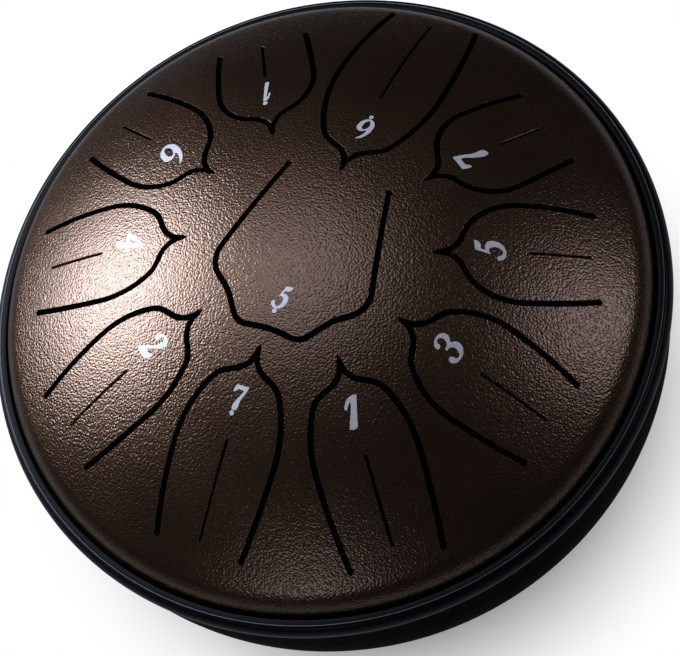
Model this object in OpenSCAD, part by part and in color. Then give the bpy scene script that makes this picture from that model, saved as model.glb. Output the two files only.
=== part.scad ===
// Steel tongue drum with eleven notes: a domed upper shell with ten petal tongues round a centre
// tongue, a bowl as lower shell, a rubber band over the seam and four rubber feet. Millimetres,
// +Z up, the player's side towards -Y, z = 0 at the feet, and the drum's axis on x = y = 0.

/* [Upper shell] */
// Radius of the upper shell's side wall, outside
upper_r = 121; // [117:0.5:121.4]
// Radius of the domed crown, outside
crown_r = 210; // [190:5:240]
// Radius of the rounded shoulder between crown and wall, outside
shoulder_r = 14; // [10:1:16]
// Straight wall between the shoulder and the flange
upper_wall_h = 1.9; // [1:0.1:6]
// Thickness of both steel shells
sheet = 1.6; // [1.2:0.1:2]
// Width of the lower shell's seam flange, outside its wall, which the upper shell's flange matches
flange_w = 1.4; // [1:0.1:3]

/* [Lower shell] */
// How far the lower shell's wall stands outside the upper shell's
lower_step = 2; // [0:0.1:4]
// Radius of the flat floor
floor_r = 63; // [54:1:80]
// Straight wall between the bend and the flange
bowl_wall_h = 16.9; // [10:0.5:40]
// Radius of the sound hole in the floor
sound_hole_r = 30; // [20:1:36]

/* [Seam] */
// Thickness of the gasket between the flanges
gasket_t = 0.6; // [0.4:0.1:1]
// Rubber outside the flanges, where the band is the drum's widest
band_side = 2.6; // [2:0.1:6]
// How far the band's side bulges past its two edges
band_bulge = 2.5; // [1.5:0.1:2.6]
// Thickness of the band's lip above the flanges
band_top_lip = 3.4; // [2.5:0.1:5]
// Thickness of the band's lip below the flanges
band_bottom_lip = 2.2; // [1.5:0.1:4]
// Open gap between the band's top lip and the upper shell
band_top_gap = 0.9; // [0.3:0.1:1.2]
// Clearance between the band's bottom lip and the lower shell
band_bottom_gap = 0.3; // [0.1:0.1:0.6]

/* [Slots] */
// Width of the slot that outlines each tongue
slot_w = 1.8; // [1:0.1:2.4]
// How much the round end of a slot is wider than the slot, on the radius
slot_relief = 0.2; // [0.1:0.05:0.5]
// Width of the tuning slit in the middle of each petal
slit_w = 0.8; // [0.5:0.1:1.4]
// Hairline at the root, where a tongue bends
root_gap = 0.05; // [0.02:0.01:0.1]

/* [Petal tongues] */
// Width of a petal between its slots' middles at the root
petal_root_w = 33.6; // [30:0.2:34.6]
// Straight spike at the tip
petal_spike = 2.2; // [1:0.1:3.5]
// Radius of the hollow curve behind the tip
petal_neck_r = 9.2; // [7.5:0.1:10]
// How far the hollow curve turns, in degrees
petal_neck_turn = 66; // [58:1:72]
// Straight run between the hollow curve and the cheek
petal_flank = 4; // [2.5:0.1:4.5]
// Radius of the petal's cheek
petal_cheek_r = 9; // [5:0.1:10]

/* [Centre tongue] */
// Width of the centre tongue at its shoulders, between the slots' middles
leaf_w = 59.6; // [54:0.2:61]
// Distance from the drum's axis to the centre tongue's tip
leaf_tip = 31; // [29:0.2:31.6]
// Sideways shift of the centre tongue's own axis
leaf_side = -1.5; // [-2.5:0.1:1]

/* [Feet] */
// Height of a foot
foot_h = 9; // [7:0.5:14]
// Radius of a foot where it meets the floor of the bowl
foot_top_r = 9.5; // [8:0.1:9.8]
// Radius of a foot where it stands
foot_bottom_r = 8; // [7:0.1:9]
// Flat floor left outside a foot
foot_inset = 0.5; // [0.2:0.1:10]
// Room round the screw's head in the foot's recess
head_gap = 0.9; // [0.5:0.1:1.5]
// Rubber left between the recess and the bowl
foot_web = 4; // [2:0.1:5]

/* [Foot fasteners] */
// Radius of the screw's shank
screw_r = 2; // [1.5:0.1:2.5]
// Radius of the screw's pan head
head_r = 3.9; // [3.5:0.1:4.2]
// Height of the screw's pan head
head_h = 2.6; // [2:0.1:2.8]
// Radius of the rounded edge on the screw's head
head_round = 1; // [0.5:0.1:1.5]
// Radius of the cross recess in the screw's head
drive_r = 2; // [1.5:0.1:2.4]
// Width of a slot of the cross recess
drive_w = 0.8; // [0.5:0.1:1.1]
// Depth of the cross recess
drive_d = 1.4; // [0.8:0.1:1.6]
// Clearance round the shank in the foot, the bowl and the washer
screw_clearance = 0.2; // [0.1:0.05:0.4]
// Clearance round the shank in the nut
thread_clearance = 0.05; // [0.02:0.01:0.1]
// Radius of the washer
washer_r = 4.6; // [4.2:0.1:5.5]
// Thickness of the washer
washer_t = 0.8; // [0.5:0.1:1.2]
// Width of the nut across its flats
nut_flats = 7; // [6.5:0.1:8]
// Height of the nut
nut_h = 3.2; // [2.4:0.1:4]
// Length of shank that stands past the nut
screw_tail = 1; // [0.5:0.1:3]

/* [Hidden] */
$fn = 96;

// How far a cut runs past the solid that it cuts
over = 1;
// How far the shoulder's arc passes outside the crown's, so that the two cross instead of just touching
lap = 0.005;
// Largest turn and longest chord between two points of a curve
arc_step = 12;
chord = 4;

// Radii, from the upper shell's wall outwards
lower_r = upper_r + lower_step;
flange_r = lower_r + flange_w;
band_r = flange_r + band_side;

// Radii under the bowl
bowl_r = lower_r - floor_r;
foot_stance = floor_r - foot_top_r - foot_inset;
foot_recess_r = head_r + head_gap;

// Heights, stacked from the feet up
bowl_bend_z = foot_h + bowl_r;
lower_flange_z = bowl_bend_z + bowl_wall_h;
gasket_z = lower_flange_z + sheet;
upper_flange_z = gasket_z + gasket_t;
shoulder_z = upper_flange_z + sheet + upper_wall_h;
band_z = lower_flange_z - band_bottom_lip;
band_top_z = upper_flange_z + sheet + band_top_lip;
band_mid_z = (band_z + band_top_z) / 2;

// The crown's centre lies below the drum's middle, so that it runs into the shoulder without a corner
shoulder_mid_r = upper_r - shoulder_r;
crown_slope = asin(shoulder_mid_r / (crown_r - shoulder_r + lap));
crown_z = shoulder_z - shoulder_mid_r / tan(crown_slope);
top_z = crown_z + crown_r;

// Places along the foot screws
recess_z = foot_h - foot_web;
washer_z = foot_h + sheet;
nut_z = washer_z + washer_t;
screw_top_z = nut_z + nut_h + screw_tail;
nut_sides = 6;

// The ten petals, in the order of petal_notes. Directions are from +X, in degrees. Tips, lengths and
// sideways shifts are shares of upper_r, bellies are shares of petal_root_w, and the ends of the
// slits are shares of the petal's own length.
petal_notes = ["low_6", "low_7", "1", "2", "3", "4", "5", "6", "7", "high_1"];
petal_dirs = [92.1, 269.8, 306.3, 232.8, 348.3, 200.8, 25.3, 163.8, 56.3, 124.7];
petal_tip_shares = [0.281, 0.295, 0.341, 0.321, 0.36, 0.345, 0.388, 0.396, 0.416, 0.421];
petal_length_shares = [0.653, 0.579, 0.567, 0.54, 0.502, 0.512, 0.455, 0.464, 0.411, 0.412];
petal_side_shares = [-0.019, 0.008, 0.038, -0.015, -0.015, -0.082, -0.034, -0.062, -0.016, 0.008];
petal_belly_shares = [0.613, 0.58, 0.557, 0.56, 0.571, 0.568, 0.563, 0.554, 0.548, 0.542];
slit_start_shares = [0.458, 0.494, 0.515, 0.539, 0.568, 0.579, 0.607, 0.654, 0.652, 0.635];
slit_end_shares = [0.976, 0.974, 0.943, 0.956, 0.975, 0.927, 0.969, 0.957, 0.975, 0.976];
// Where a petal is widest, as a share of its length
belly_place_share = 0.55;

// The centre tongue's edge from the middle of its tip to its root, as shares of leaf_w: each step is
// a radius and a turn in degrees, or a straight run and no turn
leaf_dir = 90.2;
leaf_dip_share = 0.018;
leaf_step_shares = [
  [0.77, 8],
  [0.034, 0],
  [0.117, -62],
  [0.084, 0],
  [0.428, 18],
  [0.05, 0],
  [0.168, -68.5],
  [0.658, 0],
];

foot_places = [
  ["foot_front_right", -45],
  ["foot_back_right", 45],
  ["foot_back_left", 135],
  ["foot_front_left", 225],
];

// A path is a list of places [x, y, heading]. A step is [radius, turn] or [length, 0].
function step_end(p, s) =
  s[1] == 0
  ? [p.x + s[0] * cos(p.z), p.y + s[0] * sin(p.z), p.z]
  : let (side = sign(s[1]), h = p.z + s[1])
    [p.x + side * s[0] * (sin(h) - sin(p.z)), p.y - side * s[0] * (cos(h) - cos(p.z)), h];
function step_count(s) =
  max(ceil(abs(s[1]) / arc_step), ceil(s[0] * abs(s[1]) * PI / 180 / chord), 1);
function step_places(p, s) =
  let (n = step_count(s))
  [for (i = [1:n]) step_end(p, s[1] == 0 ? s : [s[0], s[1] * i / n])];
function walk(p, steps, i = 0) =
  i == len(steps)
  ? []
  : concat(step_places(p, steps[i]), walk(step_end(p, steps[i]), steps, i + 1));

// The path moved to its left by d, as plain points
function beside(path, d) = [for (p = path) [p.x - d * sin(p.z), p.y + d * cos(p.z)]];
// A closed outline from its upper half, which starts on the axis
function both_sides(half) =
  concat(half, [for (i = [len(half) - 1:-1:1]) [half[i].x, -half[i].y]]);

// The middle of a petal's slot, from its tip to its root
function petal_path(i) =
  let (
    length = petal_length_shares[i] * upper_r,
    belly = petal_belly_shares[i] * petal_root_w,
    belly_x = belly_place_share * length,
    tip = [0, 0, 0],
    neck = step_end(tip, [petal_spike, 0]),
    flank = step_end(neck, [petal_neck_r, petal_neck_turn]),
    cheek = step_end(flank, [petal_flank, 0]),
    rise = belly - cheek.y - petal_cheek_r * (1 - cos(petal_neck_turn)),
    run = belly_x - cheek.x - petal_cheek_r * sin(petal_neck_turn),
    lean = 2 * atan(rise / run),
    side = step_end(cheek, [petal_cheek_r, lean - petal_neck_turn]),
    drop = belly - petal_root_w / 2,
    taper = length - belly_x,
    steps = [
      [petal_spike, 0],
      [petal_neck_r, petal_neck_turn],
      [petal_flank, 0],
      [petal_cheek_r, lean - petal_neck_turn],
      [(belly_x - side.x) / sin(lean), -lean],
      [(taper * taper + drop * drop) / (2 * drop), -2 * atan(drop / taper)],
    ]
  )
  concat([tip], walk(tip, steps));

// The hole in the upper shell for a petal: pointed at the tip, open to the outer side of the slot
function petal_hole(i) = concat([[0, 0]], [for (p = beside(petal_path(i), slot_w / 2)) if (p.x > 0) p]);
// The petal itself, whose tip is where the inner sides of its two slots meet
function petal_edge(i) =
  let (
    path = petal_path(i),
    root_x = path[len(path) - 1].x - root_gap,
    tip_x = petal_spike + sqrt(petal_neck_r * slot_w + slot_w * slot_w / 4),
    inner = [for (p = beside(path, -slot_w / 2)) if (p.x > tip_x && p.x < root_x && p.y > 0) p],
    last = inner[len(inner) - 1]
  )
  concat([[tip_x, 0]], inner, [[root_x, last.y]]);

// The middle of the centre tongue's slot, from the middle of its tip to its root
leaf_start = [leaf_dip_share * leaf_w, 0, 90];
leaf_path = concat([leaf_start], walk(leaf_start, [for (s = leaf_step_shares) [s[0] * leaf_w, s[1]]]));
leaf_root_x = leaf_path[len(leaf_path) - 1].x;

// Petal i or the centre tongue, laid along +X from its tip, turned to its place on the drum
module place_petal(i) {
  rotate(petal_dirs[i])
    translate([petal_tip_shares[i] * upper_r, petal_side_shares[i] * upper_r])
      children();
}
module place_leaf() {
  rotate(leaf_dir) translate([-leaf_tip, leaf_side]) children();
}
// The round ends of a slot pair at the root
module slot_ends(path) {
  for (side = [-1, 1])
    translate([path[len(path) - 1].x, side * path[len(path) - 1].y])
      circle(r = slot_w / 2 + slot_relief);
}
module petal_hole_2d(i) {
  polygon(both_sides(petal_hole(i)));
  slot_ends(petal_path(i));
}
module petal_2d(i) {
  length = petal_length_shares[i] * upper_r;
  x0 = slit_start_shares[i] * length;
  x1 = slit_end_shares[i] * length;
  difference() {
    polygon(both_sides(petal_edge(i)));
    translate([x0, -slit_w / 2]) square([x1 - x0, slit_w]);
    for (x = [x0, x1]) translate([x, 0]) circle(r = slit_w / 2);
  }
}
module leaf_hole_2d() {
  polygon(both_sides(concat([[leaf_start.x - slot_w / 2, 0]], beside(leaf_path, slot_w / 2))));
  slot_ends(leaf_path);
}
module leaf_2d() {
  inner = [for (p = beside(leaf_path, -slot_w / 2)) if (p.x < leaf_root_x - root_gap) p];
  last = inner[len(inner) - 1];
  polygon(both_sides(concat(
    [[leaf_start.x + slot_w / 2, 0]],
    inner,
    [[leaf_root_x - root_gap, last.y]]
  )));
}

// Everything under the upper shell's skin, moved inwards by the given depth, as half a section
module dome_2d(depth, bottom_z) {
  reach = crown_r + over;
  intersection() {
    translate([0, crown_z]) circle(r = crown_r - depth, $fn = 360);
    polygon([
      [0, shoulder_z],
      [shoulder_mid_r, shoulder_z],
      [reach * tan(crown_slope), crown_z + reach],
      [0, crown_z + reach],
    ]);
  }
  translate([shoulder_mid_r, shoulder_z]) intersection() {
    circle(r = shoulder_r - depth);
    square(shoulder_r);
  }
  translate([0, bottom_z]) square([upper_r - depth, shoulder_z - bottom_z]);
}
module dome() {
  rotate_extrude() difference() {
    dome_2d(0, upper_flange_z);
    dome_2d(sheet, upper_flange_z - over);
  }
}
module tongue_prism() {
  translate([0, 0, shoulder_z - shoulder_r])
    linear_extrude(top_z + over - shoulder_z + shoulder_r)
      children();
}

module upper_shell() {
  color([0.27, 0.19, 0.15]) {
    difference() {
      dome();
      tongue_prism() {
        place_leaf() leaf_hole_2d();
        for (i = [0:len(petal_notes) - 1]) place_petal(i) petal_hole_2d(i);
      }
    }
    translate([0, 0, upper_flange_z]) ring(upper_r, flange_r, sheet);
  }
}
module petal_tongue(i) {
  color([0.3, 0.21, 0.16]) intersection() {
    dome();
    tongue_prism() place_petal(i) petal_2d(i);
  }
}
module centre_tongue() {
  color([0.3, 0.21, 0.16]) intersection() {
    dome();
    tongue_prism() place_leaf() leaf_2d();
  }
}

// A flat ring that stands on z = 0
module ring(r0, r1, h) {
  rotate_extrude() translate([r0, 0]) square([r1 - r0, h]);
}

// Everything inside the bowl's skin, moved inwards by the given depth, as half a section
module bowl_2d(depth, rim_z) {
  translate([lower_r - bowl_r, bowl_bend_z]) intersection() {
    circle(r = bowl_r - depth);
    translate([0, -bowl_r]) square(bowl_r);
  }
  translate([0, foot_h + depth]) square([floor_r, bowl_r - depth]);
  translate([0, bowl_bend_z]) square([lower_r - depth, rim_z - bowl_bend_z]);
}
module lower_shell() {
  color([0.1, 0.1, 0.12]) {
    difference() {
      rotate_extrude() difference() {
        bowl_2d(0, gasket_z);
        bowl_2d(sheet, gasket_z + over);
      }
      translate([0, 0, foot_h - over]) cylinder(r = sound_hole_r, h = sheet + 2 * over);
      for (foot = foot_places)
        rotate(foot[1]) translate([foot_stance, 0, foot_h - over])
          cylinder(r = screw_r + screw_clearance, h = sheet + 2 * over);
    }
    translate([0, 0, lower_flange_z]) ring(lower_r, flange_r, sheet);
  }
}
module seam_gasket() {
  color([0.05, 0.05, 0.05]) translate([0, 0, gasket_z])
    ring(lower_r - sheet, flange_r, gasket_t);
}
module rim_band() {
  half_h = (band_top_z - band_z) / 2;
  side_r = (half_h * half_h + band_bulge * band_bulge) / (2 * band_bulge);
  top_lip_r = upper_r + band_top_gap;
  bottom_lip_r = lower_r + band_bottom_gap;
  color([0.07, 0.07, 0.09]) rotate_extrude() difference() {
    union() {
      intersection() {
        translate([band_r - side_r, band_mid_z]) circle(r = side_r);
        translate([bottom_lip_r, band_z]) square([band_r - bottom_lip_r + over, 2 * half_h]);
      }
      translate([top_lip_r, upper_flange_z + sheet])
        square([bottom_lip_r - top_lip_r, band_top_lip]);
    }
    translate([bottom_lip_r - over, lower_flange_z])
      square([flange_r - bottom_lip_r + over, upper_flange_z + sheet - lower_flange_z]);
  }
}

module foot(turn) {
  color([0.06, 0.06, 0.06]) rotate(turn) translate([foot_stance, 0, 0]) difference() {
    rotate_extrude() polygon([
      [0, 0],
      [foot_bottom_r, 0],
      [foot_top_r, foot_h],
      [0, foot_h],
    ]);
    translate([0, 0, -over]) cylinder(r = foot_recess_r, h = recess_z + over);
    cylinder(r = screw_r + screw_clearance, h = foot_h + over);
  }
}
module at_feet() {
  for (foot = foot_places) rotate(foot[1]) translate([foot_stance, 0, 0]) children();
}
module foot_screws() {
  color([0.6, 0.6, 0.62]) at_feet() {
    difference() {
      translate([0, 0, recess_z - head_h]) rotate_extrude() union() {
        translate([0, head_round]) square([head_r, head_h - head_round]);
        square([head_r - head_round, head_round]);
        translate([head_r - head_round, head_round]) intersection() {
          circle(r = head_round);
          translate([0, -head_round]) square(head_round);
        }
      }
      for (turn = [0, 90])
        rotate(turn) translate([-drive_r, -drive_w / 2, recess_z - head_h - over])
          cube([2 * drive_r, drive_w, drive_d + over]);
    }
    translate([0, 0, recess_z]) cylinder(r = screw_r, h = screw_top_z - recess_z);
  }
}
module foot_washers() {
  color([0.65, 0.65, 0.67]) at_feet() translate([0, 0, washer_z])
    ring(screw_r + screw_clearance, washer_r, washer_t);
}
module foot_nuts() {
  color([0.62, 0.62, 0.64]) at_feet() translate([0, 0, nut_z]) difference() {
    cylinder(r = nut_flats / 2 / cos(180 / nut_sides), h = nut_h, $fn = nut_sides);
    translate([0, 0, -over]) cylinder(r = screw_r + thread_clearance, h = nut_h + 2 * over);
  }
}

upper_shell();
centre_tongue();  // tongue_low_5
for (i = [0:len(petal_notes) - 1])
  petal_tongue(i);
lower_shell();
seam_gasket();
rim_band();
for (foot = foot_places)
  foot(foot[1]);
foot_screws();
foot_washers();
foot_nuts();
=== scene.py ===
from math import asin, atan, ceil, copysign, cos, degrees, pi, radians, sin, sqrt, tan

import bpy
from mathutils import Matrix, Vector


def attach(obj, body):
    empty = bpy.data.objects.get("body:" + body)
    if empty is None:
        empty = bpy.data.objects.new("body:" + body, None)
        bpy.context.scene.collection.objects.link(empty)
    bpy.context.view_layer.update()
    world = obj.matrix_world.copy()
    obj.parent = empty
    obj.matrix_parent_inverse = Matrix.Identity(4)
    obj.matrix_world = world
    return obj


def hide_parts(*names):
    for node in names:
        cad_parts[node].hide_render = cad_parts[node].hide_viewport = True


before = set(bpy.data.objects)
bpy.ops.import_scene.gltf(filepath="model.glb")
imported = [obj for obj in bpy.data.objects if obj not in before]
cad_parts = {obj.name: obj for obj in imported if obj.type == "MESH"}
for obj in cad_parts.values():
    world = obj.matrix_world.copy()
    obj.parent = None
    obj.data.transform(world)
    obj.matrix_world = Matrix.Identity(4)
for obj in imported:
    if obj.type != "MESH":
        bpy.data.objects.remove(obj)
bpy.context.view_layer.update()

MM = 0.001

# Upper shell: a shallow crown, a round shoulder, a short wall and a flange. CROWN_LAP flattens the crown by
# a hair, so that the drawn skin stays inside the CAD's box.
UPPER_R = 121
CROWN_R = 210
SHOULDER_R = 14
CROWN_LAP = 0.005
UPPER_WALL = 1.9
UPPER_BEND = 1.2
SHEET = 1.6
FLANGE_R = 124.4

# Lower shell
LOWER_R = 123
FLOOR_R = 63
BOWL_WALL = 16.9
LOWER_BEND = 0.8
SOUND_HOLE_R = 30
SOUND_HOLE_EDGE = 0.4

# Rim band and gasket. BAND_HIGHLIGHT_LINE is the width of the painted highlight line on the band's upper
# edge.
BAND_R = 126.96
BAND_BULGE = 2.4
BAND_HIGHLIGHT_LINE = 0.3
BAND_EDGE = 0.4
BAND_BEAD = 0.38
BAND_TOP_LIP = 3.4
BAND_BOTTOM_LIP = 2.2
BAND_TOP_GAP = 0.9
BAND_BOTTOM_GAP = 0.3
GASKET = 0.6

# Slots round the tongues, slits in the petals, and how far their edges are rounded. A slot ends in a hole
# wider by SLOT_RELIEF, and ROOT_GAP parts a tongue from the shell where the steel bends.
SLOT = 2.2
SLOT_RELIEF = 0.2
SLIT = 1.25
ROOT_GAP = 0.025
SLOT_EDGE = 0.16
SLIT_EDGE = 0.06

# Petal tongues: width at the root, then the tip's spike, neck, flank and cheek. BELLY_SHARE is how far along
# its length a petal is widest.
PETAL_ROOT = 33.6
PETAL_SPIKE = 2.2
PETAL_NECK_R = 9.2
PETAL_NECK_TURN = 66
PETAL_FLANK = 4
PETAL_CHEEK_R = 9
BELLY_SHARE = 0.55

# Centre tongue: its half outline is a walk from the tip's middle, in steps of a length or a radius, as a
# share of its width, and a turn in degrees
LEAF_W = 59.6
LEAF_TIP = 31
LEAF_SIDE = -1.5
LEAF_TURN = 90.2
LEAF_DIP_SHARE = 0.018
LEAF_STEP_SHARES = [
    (0.77, 8),
    (0.034, 0),
    (0.117, -62),
    (0.084, 0),
    (0.428, 18),
    (0.05, 0),
    (0.168, -68.5),
    (0.658, 0),
]

# Feet and their screws
FOOT_H = 9
FOOT_TOP_R = 9.5
FOOT_BOTTOM_R = 8
FOOT_STANCE = 53
FOOT_RECESS_R = 4.8
FOOT_WEB = 4
FOOT_EDGE = 0.8
FOOT_RIM = 0.3
SCREW_HOLE_R = 2.2
FOOT_TURNS = {"front_right": -45, "back_right": 45, "back_left": 135, "front_left": 225}

# Heights, stacked from the feet up
BOWL_R = LOWER_R - FLOOR_R
BEND_Z = FOOT_H + BOWL_R
LOWER_FLANGE_Z = BEND_Z + BOWL_WALL
GASKET_Z = LOWER_FLANGE_Z + SHEET
UPPER_FLANGE_Z = GASKET_Z + GASKET
SHOULDER_Z = UPPER_FLANGE_Z + SHEET + UPPER_WALL
SHOULDER_MID_R = UPPER_R - SHOULDER_R
CROWN_SLOPE = asin(SHOULDER_MID_R / (CROWN_R - SHOULDER_R + CROWN_LAP))
CROWN_Z = SHOULDER_Z - SHOULDER_MID_R / tan(CROWN_SLOPE)
BAND_Z = LOWER_FLANGE_Z - BAND_BOTTOM_LIP
BAND_TOP_Z = UPPER_FLANGE_Z + SHEET + BAND_TOP_LIP

# How finely round things are drawn
ROUND_STEPS = 240
FOOT_STEPS = 72
CROWN_STEPS = 40
MARK_STEPS = 5
ARC_STEP = radians(6)
SMALL_ARC_STEP = radians(18)
TINY_ARC_STEP = radians(30)
SLOT_END_STEP = radians(20)
BOWL_ARC_STEP = radians(2.5)
BAND_ARC_STEP = radians(5)
CHORD = 2.4

# How close points lie that are merged, or that belong to the skin or to a root
WELD = 0.002
CUT_WELD = 0.06
FLAT_FACE = 0.01
SKIN_REACH = 0.08
ROOT_REACH = 0.06
ROOT_SIDE = 0.1

# Edges sharper than these, in degrees, stay sharp in the shading or are rounded
PLAIN_CREASE = 40
SKIN_CREASE = 35
ROUNDED_CREASE = 50

# By note: the petal's direction, then its tip and length as shares of the upper shell's radius, its sideways
# shift as a share of it, its belly as a share of its root, and its slit's ends as shares of its length
PETALS = {
    "low_6": (92.1, 0.281, 0.653, -0.019, 0.613, 0.458, 0.976),
    "low_7": (269.8, 0.295, 0.579, 0.008, 0.58, 0.494, 0.974),
    "1": (306.3, 0.341, 0.567, 0.038, 0.557, 0.515, 0.943),
    "2": (232.8, 0.321, 0.54, -0.015, 0.56, 0.539, 0.956),
    "3": (348.3, 0.36, 0.502, -0.015, 0.571, 0.568, 0.975),
    "4": (200.8, 0.345, 0.512, -0.082, 0.568, 0.579, 0.927),
    "5": (25.3, 0.388, 0.455, -0.034, 0.563, 0.607, 0.969),
    "6": (163.8, 0.396, 0.464, -0.062, 0.554, 0.654, 0.957),
    "7": (56.3, 0.416, 0.411, -0.016, 0.548, 0.652, 0.975),
    "high_1": (124.7, 0.421, 0.412, 0.008, 0.542, 0.635, 0.976),
}

# Outlines of the printed digits, in millimetres round the middle of the mark. A third value marks a corner.
ONE = [
    (3.5, 5.2, 1), (2.9, 2.9), (0.9, -5.5, 1), (-0.6, -6), (-2.1, -5.5, 1), (0.7, 2.6), (0.6, 3.3, 1),
    (-0.3, 2.3), (-1.1, 0.9, 1), (-1.8, 1.1), (-1.3, 2.9), (0.1, 4.6), (1.5, 5.2),
]
TWO = [
    (-1.3, 1), (-0.8, 2.7), (0.8, 3.9), (2.9, 4.1), (4.6, 2.8), (4.4, 0.7), (2.8, -1.4), (0.4, -4, 1),
    (2.1, -4.4), (3.5, -3.4, 1), (4.3, -3.8, 1), (3.6, -5.9), (2.3, -6.7), (-2.3, -6.6, 1), (-2.2, -5.6),
    (-0.3, -3.1), (1.7, -0.8), (2.4, 1.2), (2.2, 2.7), (1.3, 3.1), (0.6, 2.4), (0.7, 1.1), (-0.3, 0.3),
]
THREE = [
    (-3.1, 3), (-2.2, 4.6), (0.4, 5.5), (2.8, 4.5), (3.2, 2.5), (1.6, 0.5, 1), (3.1, -1), (3, -3.1),
    (1.1, -4.9), (-1.7, -5.4), (-4, -4.3), (-4.2, -2.8), (-3.1, -2.1), (-2.2, -2.8), (-2, -3.9),
    (-0.8, -4.5), (0.5, -3.3), (0.8, -1.6), (0, -0.4), (-1.6, -0.2, 1), (-1.5, 0.6, 1), (0.2, 1.1),
    (1.2, 2.5), (1, 4), (-0.1, 4.6), (-1.1, 4), (-1.3, 2.9), (-2.2, 2.3),
]
FOUR = [
    (0.5, 4.4, 1), (2, 4.5, 1), (0.9, -1.4, 1), (2.3, -1.3), (2, -2.9), (0.5, -2.9, 1), (-0.3, -6.2),
    (-1, -7.1), (-2.6, -7), (-2.4, -6), (-1.6, -2.9, 1), (-4.8, -2.8), (-5.2, -1.9),
]
FOUR_EYE = [(-0.2, 1.7, 1), (-0.9, -1.4, 1), (-3.2, -1.4, 1)]
FIVE = [
    (-1, 5.1, 1), (2.7, 5.4, 1), (2.3, 4.1), (1.3, 3.2, 1), (-0.7, 3.1, 1), (-1.2, 1.6, 1), (0.5, 1.7),
    (2.1, 0.6), (2.3, -1.5), (1.1, -3.9), (-1.5, -5.3), (-4.2, -4.8), (-5.2, -3.3), (-4.7, -2.2),
    (-3.6, -2.6), (-3.1, -3.8), (-2, -4.3), (-0.7, -3.4), (0, -1.6), (-0.5, 0.1), (-1.6, 0.4),
    (-2.8, -0.1, 1),
]
SIX = [
    (1.7, 7.4, 1), (0.5, 6), (-0.9, 4.1), (-1.6, 2.2), (-1.5, 1.5, 1), (0, 2.4), (1.8, 2.5), (3.3, 1.3),
    (3.4, -0.7), (2.3, -3.2), (0.2, -4.6), (-2, -4.5), (-3.7, -2.8), (-4.1, 0.2), (-3, 3.6), (-0.9, 6.2),
]
SIX_EYE = [
    (-1.3, 0.5), (-0.2, 1.4), (0.9, 0.9), (1.1, -0.9),
    (0.3, -3), (-0.9, -3.7), (-1.8, -2.6), (-1.9, -0.8),
]
SEVEN = [
    (-2.5, 3.6, 1), (3.7, 3.8, 1), (3.2, 1.5), (1.6, -3), (1.3, -6.5), (0.5, -7.5), (-0.9, -7.7),
    (-1.4, -6.7), (-0.6, -3.4), (1.5, 0.6), (1.8, 1.6, 1), (0.2, 1.8), (-1.3, 1.6), (-2.2, 0.5),
    (-3.1, 0.3), (-3.2, 1),
]
SHAPES = {
    "1": [ONE],
    "2": [TWO],
    "3": [THREE],
    "4": [FOUR, FOUR_EYE],
    "5": [FIVE],
    "6": [SIX, SIX_EYE],
    "7": [SEVEN],
}

# By note: the digit, the distance of the mark from the drum's axis, its turn round the axis, its upright
# direction, its width and height, how far its middle is moved across and up, and its octave dot's place
MARKS = {
    "1": ("1", 61.85, 309.94, 126.3, 5.6, 11.2, 0.7, -0.4, None),
    "low_7": ("7", 56.58, 269.91, 89.8, 5.3, 8.8, -0.1, 0.7, (-0.7, -4.8)),
    "2": ("2", 59.61, 229.04, 52.8, 6.9, 10.8, 1.2, -1.3, None),
    "4": ("4", 64.99, 191.56, 20.8, 7.5, 11.6, -1.5, -1.3, None),
    "6": ("6", 71.66, 159.14, 343.8, 7.5, 12, -0.3, 1.4, None),
    "high_1": ("1", 72.86, 126.02, 304.7, 3.1, 9.6, -0.5, -1.2, (0.4, 4.8)),
    "low_6": ("6", 55.61, 89.68, 272.1, 6, 9.6, -0.7, 1.5, (-0.9, -4.5)),
    "7": ("7", 69.17, 54.06, 236.3, 6.9, 11.5, 0.3, -1.9, None),
    "5": ("5", 67.13, 23.36, 205.3, 7.9, 10.7, -1.3, 0, None),
    "3": ("3", 64.33, 347.79, 168.3, 7.4, 10.9, -0.5, 0, None),
    "low_5": ("5", 18.46, 273.9, 90.2, 5.8, 9, 0.4, 0.5, (-0.2, -5)),
}
DOT_R = 0.85
DOT_POINTS = 6
PRINT_UP = 0.04
PRINT_DOWN = 0.02


# Drawing by hand
def only(piece):
    """Selects this piece alone."""
    bpy.ops.object.select_all(action="DESELECT")
    piece.select_set(True)
    bpy.context.view_layer.objects.active = piece


def mesh_edit(piece, *steps):
    """Runs the steps in edit mode with everything of the piece selected."""
    only(piece)
    bpy.ops.object.mode_set(mode="EDIT")
    bpy.ops.mesh.select_all(action="SELECT")
    for step in steps:
        step()
    bpy.ops.object.mode_set(mode="OBJECT")


def modify(piece, kind, **settings):
    """Adds a modifier with its settings and applies it."""
    only(piece)
    modifier = piece.modifiers.new(kind.title(), kind)
    for name, value in settings.items():
        setattr(modifier, name, value)
    bpy.ops.object.modifier_apply(modifier=modifier.name)


def single_point(name, place):
    """A plane drawn together to one point at the place, left in edit mode."""
    bpy.ops.object.select_all(action="DESELECT")
    bpy.ops.mesh.primitive_plane_add(size=MM)
    piece = bpy.context.object
    piece.name = name
    bpy.ops.object.mode_set(mode="EDIT")
    bpy.ops.mesh.select_mode(type="VERT")
    bpy.ops.mesh.select_all(action="SELECT")
    bpy.ops.mesh.merge(type="CENTER")
    bpy.ops.transform.translate(value=place)
    return piece


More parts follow.
